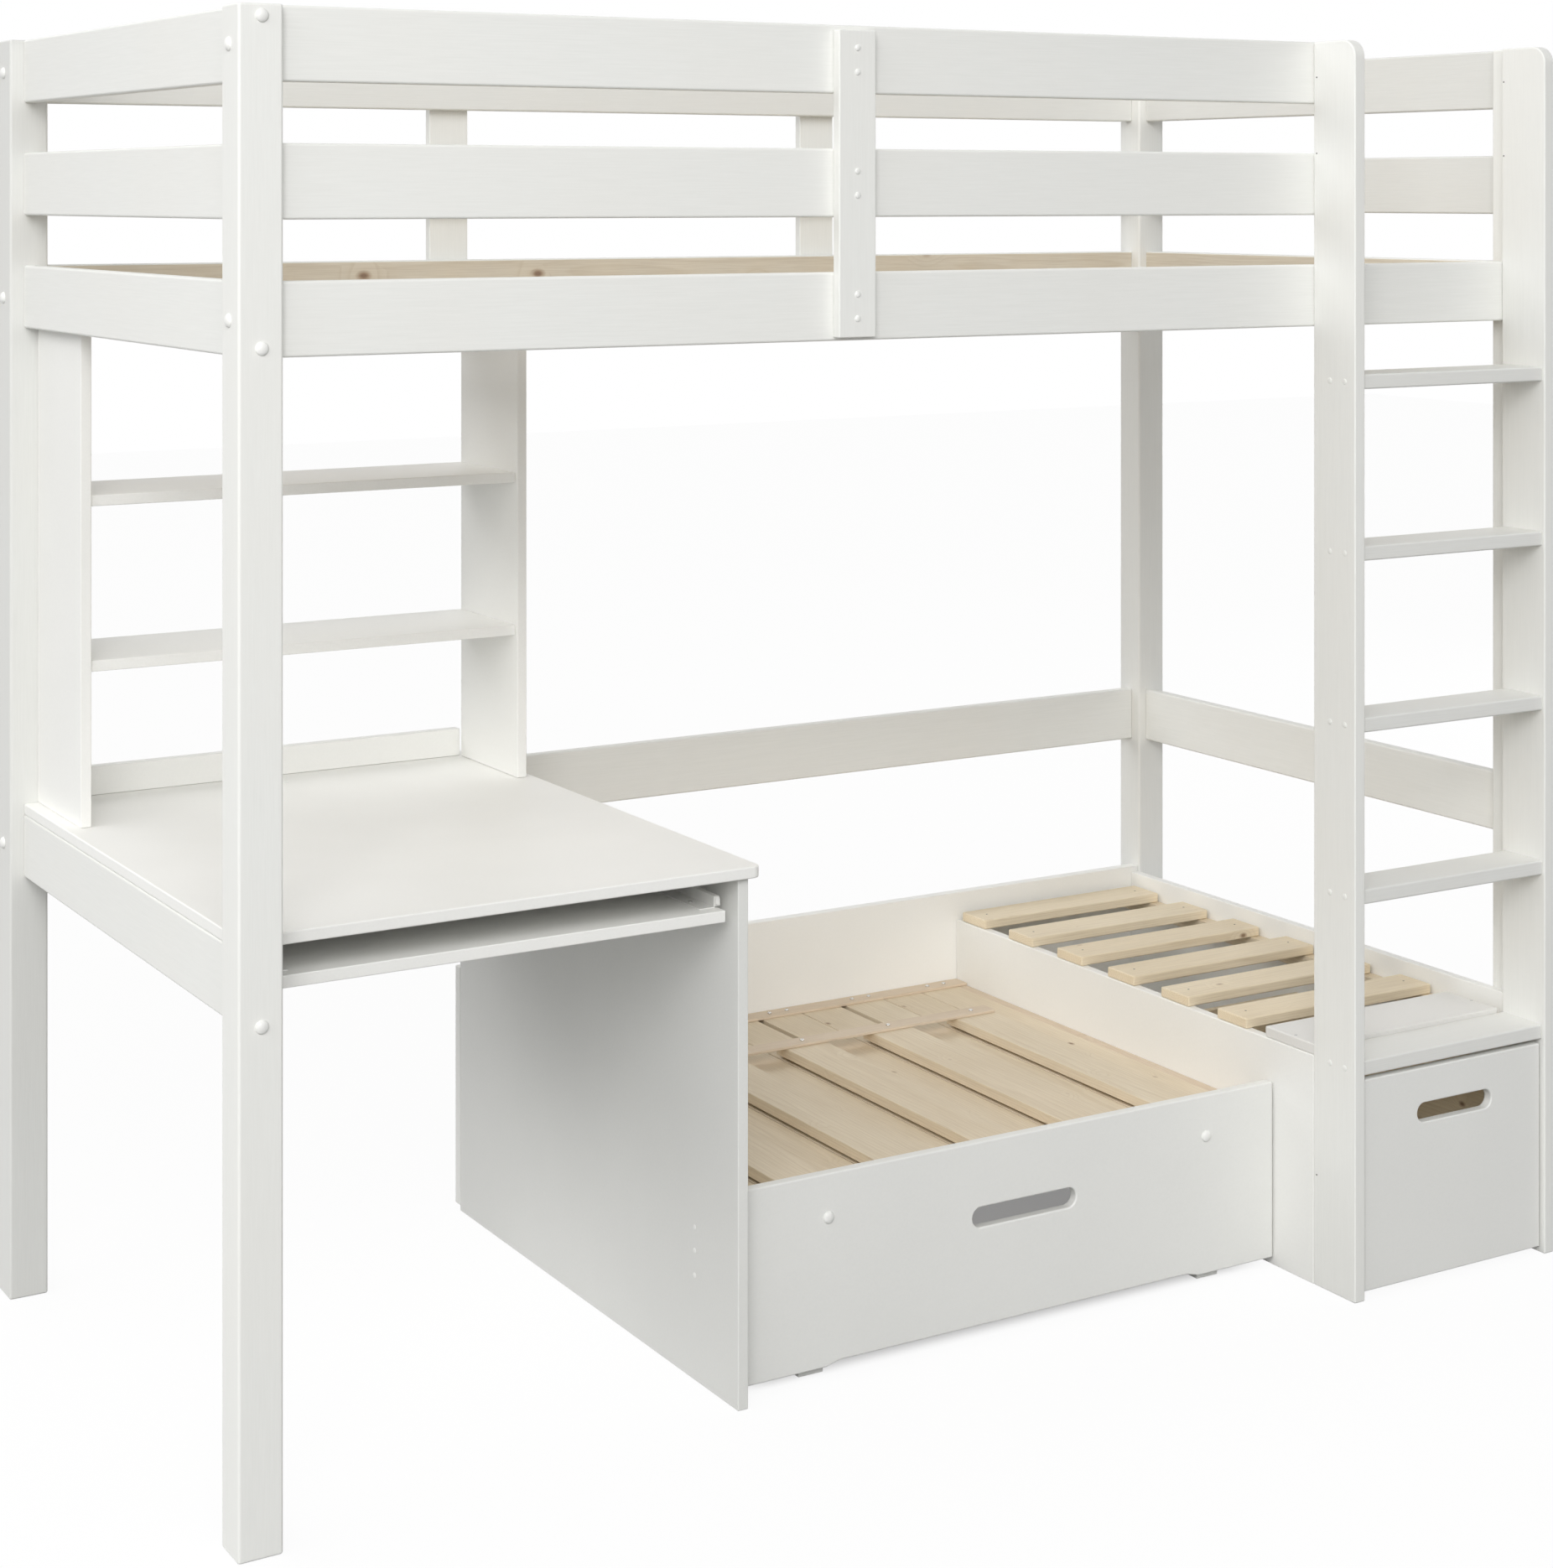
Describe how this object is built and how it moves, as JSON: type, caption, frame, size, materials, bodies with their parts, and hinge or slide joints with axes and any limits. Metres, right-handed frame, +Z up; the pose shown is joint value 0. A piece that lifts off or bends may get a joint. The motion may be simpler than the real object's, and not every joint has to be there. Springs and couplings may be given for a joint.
{
  "type": "loft bed",
  "caption": "Painted wooden loft bed on posts with a side ladder; below it a desk with shelves and keyboard tray, a pull-out slatted lounge and a slatted bench over a drawer.",
  "frame": {"origin": "middle of the footprint, ladder included, on the floor", "axes": "+X along the bed from the desk end to the ladder end, +Y from the ladder side to the wall side, +Z up"},
  "size_m": [2.146, 1.0814, 1.85],
  "materials": {
    "white_paint": "satin white paint over pine",
    "natural_pine": "bare planed pine with small knots",
    "steel": "zinc-plated sheet"
  },
  "bodies": {
    "frame": {"post_front_left": "white_paint", "post_front_right": "white_paint", "post_back_left": "white_paint", "post_back_right": "white_paint", "front_rail_top": "white_paint", "front_rail_middle": "white_paint", "front_rail_bottom": "white_paint", "back_rail_top": "white_paint", "back_rail_middle": "white_paint", "back_rail_bottom": "white_paint", "back_rail_lower": "white_paint", "left_end_rail_top": "white_paint", "left_end_rail_middle": "white_paint", "left_end_rail_bottom": "white_paint", "left_end_rail_lower": "white_paint", "right_end_rail_top": "white_paint", "right_end_rail_middle": "white_paint", "right_end_rail_bottom": "white_paint", "right_end_rail_lower": "white_paint", "front_batten": "white_paint", "back_batten_left": "white_paint", "back_batten_right": "white_paint", "ledger_front": "natural_pine", "ledger_back": "natural_pine", "upper_slat_base": "natural_pine", "ladder_stile_left": "white_paint", "ladder_stile_right": "white_paint", "ladder_rung_1": "white_paint", "ladder_rung_2": "white_paint", "ladder_rung_3": "white_paint", "ladder_rung_4": "white_paint", "step_board": "white_paint", "desk_top": "white_paint", "desk_side_panel": "white_paint", "desk_upstand": "white_paint", "shelf_upright_left": "white_paint", "shelf_upright_right": "white_paint", "shelf_lower": "white_paint", "shelf_upper": "white_paint", "tray_channel_left": "steel", "tray_channel_right": "steel", "lounge_back_panel": "white_paint", "lounge_rear_crossbar": "natural_pine", "fixed_boards": "natural_pine", "bench_board_left": "white_paint", "bench_board_right": "white_paint", "bench_front_slat": "white_paint", "bench_slats": "natural_pine"},
    "keyboard_tray": {"keyboard_tray": "white_paint", "tray_slide_left": "steel", "tray_slide_right": "steel"},
    "pull_out_lounge": {"pull_out_front": "white_paint", "pull_out_boards": "natural_pine", "pull_out_leg_left": "natural_pine", "pull_out_leg_right": "natural_pine"},
    "drawer": {"drawer_front": "white_paint", "drawer_side_left": "natural_pine", "drawer_side_right": "natural_pine", "drawer_back": "natural_pine", "drawer_bottom": "natural_pine"}
  },
  "joints": [
    {"name": "keyboard_tray_slide", "type": "slide", "parent": "frame", "child": "keyboard_tray", "axis": [0, -1, 0], "range_m": [0, 0.3]},
    {"name": "pull_out_slide", "type": "slide", "parent": "frame", "child": "pull_out_lounge", "axis": [0, -1, 0], "range_m": [0, 0.5]},
    {"name": "drawer_slide", "type": "slide", "parent": "frame", "child": "drawer", "axis": [0, -1, 0], "range_m": [0, 0.45]}
  ]
}
